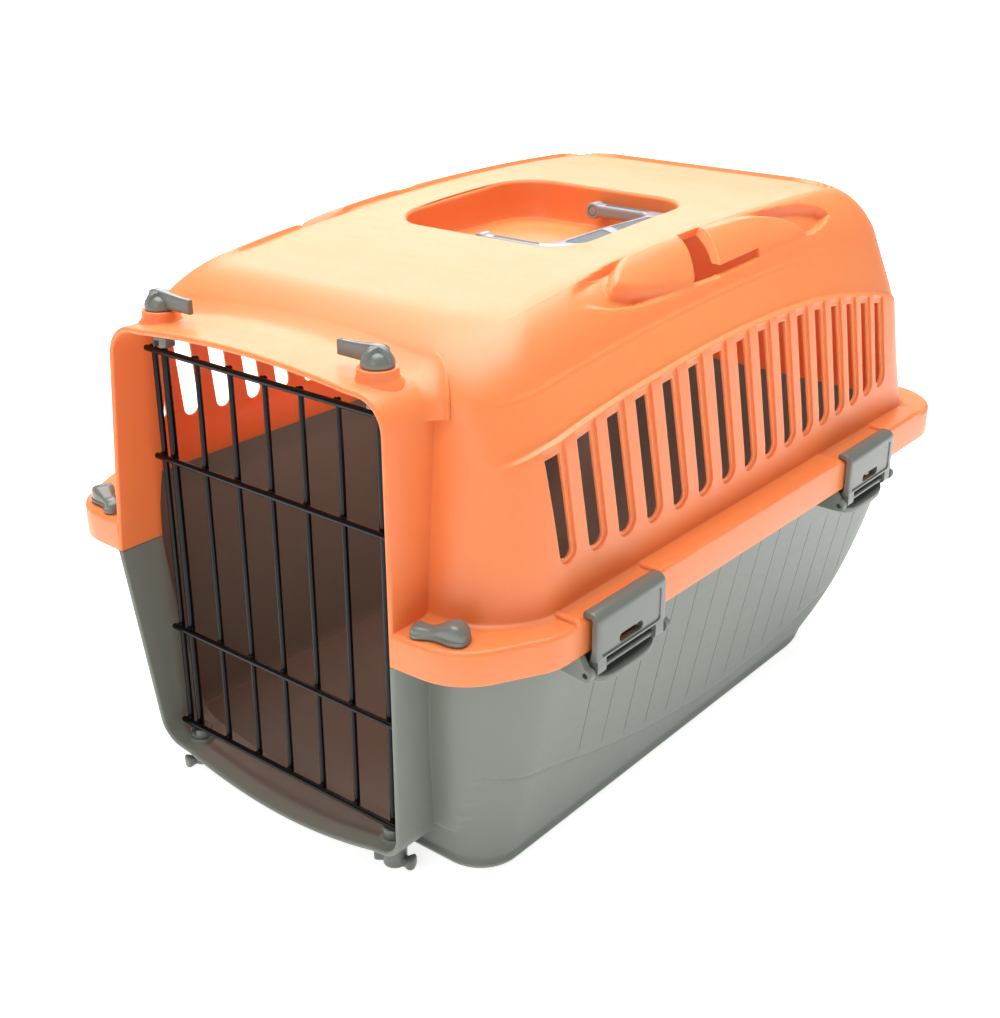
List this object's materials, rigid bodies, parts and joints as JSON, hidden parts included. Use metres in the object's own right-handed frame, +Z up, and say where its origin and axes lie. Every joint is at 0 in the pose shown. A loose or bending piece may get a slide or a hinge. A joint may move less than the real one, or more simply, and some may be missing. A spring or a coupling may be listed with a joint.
{
  "type": "pet transport carrier",
  "caption": "Two-shell moulded carrier for a cat or small dog, with side vents, a wire front door on turning knobs, side clips and a folding top handle.",
  "frame": {"origin": "on the floor under the middle of the carrier's bounding box", "axes": "+X to the right when facing the door from outside, +Y from the door to the rear along the length, +Z up"},
  "size_m": [0.3366, 0.48, 0.3],
  "materials": {
    "top_plastic": "fine satin moulded plastic, orange",
    "base_plastic": "fine satin moulded plastic, green-grey",
    "knob_plastic": "semi-gloss moulded plastic, grey",
    "clip_plastic": "satin moulded plastic, grey",
    "door_wire": "glossy black coating on welded steel wire",
    "pin_steel": "drawn steel pin",
    "handle_silver": "silver-grey moulded plastic",
    "handle_inlay": "dark grey grip inlay with a fine grain"
  },
  "bodies": {
    "carrier": {"base_shell": "base_plastic", "top_shell": "top_plastic", "left_front_clip_pin": "pin_steel", "left_rear_clip_pin": "pin_steel", "right_front_clip_pin": "pin_steel", "right_rear_clip_pin": "pin_steel"},
    "door": {"door_cross_wires": "door_wire", "door_bars": "door_wire", "door_edge_rods": "door_wire", "left_hinge_rod": "door_wire", "right_hinge_rod": "door_wire"},
    "top_left_turner": {"top_left_knob": "knob_plastic", "top_left_rod_holder": "knob_plastic"},
    "top_right_turner": {"top_right_knob": "knob_plastic", "top_right_rod_holder": "knob_plastic"},
    "bottom_left_turner": {"bottom_left_knob": "knob_plastic", "bottom_left_rod_holder": "knob_plastic"},
    "bottom_right_turner": {"bottom_right_knob": "knob_plastic", "bottom_right_rod_holder": "knob_plastic"},
    "left_corner_lock": {"left_corner_lever": "knob_plastic", "left_corner_cam": "knob_plastic"},
    "right_corner_lock": {"right_corner_lever": "knob_plastic", "right_corner_cam": "knob_plastic"},
    "left_front_clip": {"left_front_clip": "clip_plastic"},
    "left_rear_clip": {"left_rear_clip": "clip_plastic"},
    "right_front_clip": {"right_front_clip": "clip_plastic"},
    "right_rear_clip": {"right_rear_clip": "clip_plastic"},
    "handle": {"handle_frame": "handle_silver", "handle_grip_inlays": "handle_inlay", "handle_arm_inlays": "handle_inlay", "handle_front_pivot": "handle_silver", "handle_rear_pivot": "handle_silver"}
  },
  "joints": [
    {"name": "door_swing", "type": "hinge", "parent": "carrier", "child": "door", "pos_m": [0.0755, -0.216, 0.138], "axis": [0, 0, 1], "range_deg": [0, 110]},
    {"name": "top_left_knob_turn", "type": "hinge", "parent": "carrier", "child": "top_left_turner", "pos_m": [-0.0755, -0.216, 0.27], "axis": [0, 0, 1], "range_deg": [-90, 0]},
    {"name": "top_right_knob_turn", "type": "hinge", "parent": "carrier", "child": "top_right_turner", "pos_m": [0.0755, -0.216, 0.27], "axis": [0, 0, 1], "range_deg": [0, 90]},
    {"name": "bottom_left_knob_turn", "type": "hinge", "parent": "carrier", "child": "bottom_left_turner", "pos_m": [-0.0755, -0.216, 0.012], "axis": [0, 0, 1], "range_deg": [-90, 0]},
    {"name": "bottom_right_knob_turn", "type": "hinge", "parent": "carrier", "child": "bottom_right_turner", "pos_m": [0.0755, -0.216, 0.012], "axis": [0, 0, 1], "range_deg": [0, 90]},
    {"name": "left_corner_lock_turn", "type": "hinge", "parent": "carrier", "child": "left_corner_lock", "pos_m": [-0.128, -0.2265, 0.152], "axis": [0, 0, 1], "range_deg": [-90, 0]},
    {"name": "right_corner_lock_turn", "type": "hinge", "parent": "carrier", "child": "right_corner_lock", "pos_m": [0.128, -0.2265, 0.152], "axis": [0, 0, 1], "range_deg": [0, 90]},
    {"name": "left_front_clip_swing", "type": "hinge", "parent": "carrier", "child": "left_front_clip", "pos_m": [-0.165, -0.143, 0.127], "axis": [0, -1, 0], "range_deg": [0, 100]},
    {"name": "left_rear_clip_swing", "type": "hinge", "parent": "carrier", "child": "left_rear_clip", "pos_m": [-0.165, 0.115, 0.127], "axis": [0, -1, 0], "range_deg": [0, 100]},
    {"name": "right_front_clip_swing", "type": "hinge", "parent": "carrier", "child": "right_front_clip", "pos_m": [0.165, -0.143, 0.127], "axis": [0, 1, 0], "range_deg": [0, 100]},
    {"name": "right_rear_clip_swing", "type": "hinge", "parent": "carrier", "child": "right_rear_clip", "pos_m": [0.165, 0.115, 0.127], "axis": [0, 1, 0], "range_deg": [0, 100]},
    {"name": "handle_swing", "type": "hinge", "parent": "carrier", "child": "handle", "pos_m": [0, 0.0025, 0.286], "axis": [0, -1, 0], "range_deg": [0, 180]}
  ]
}
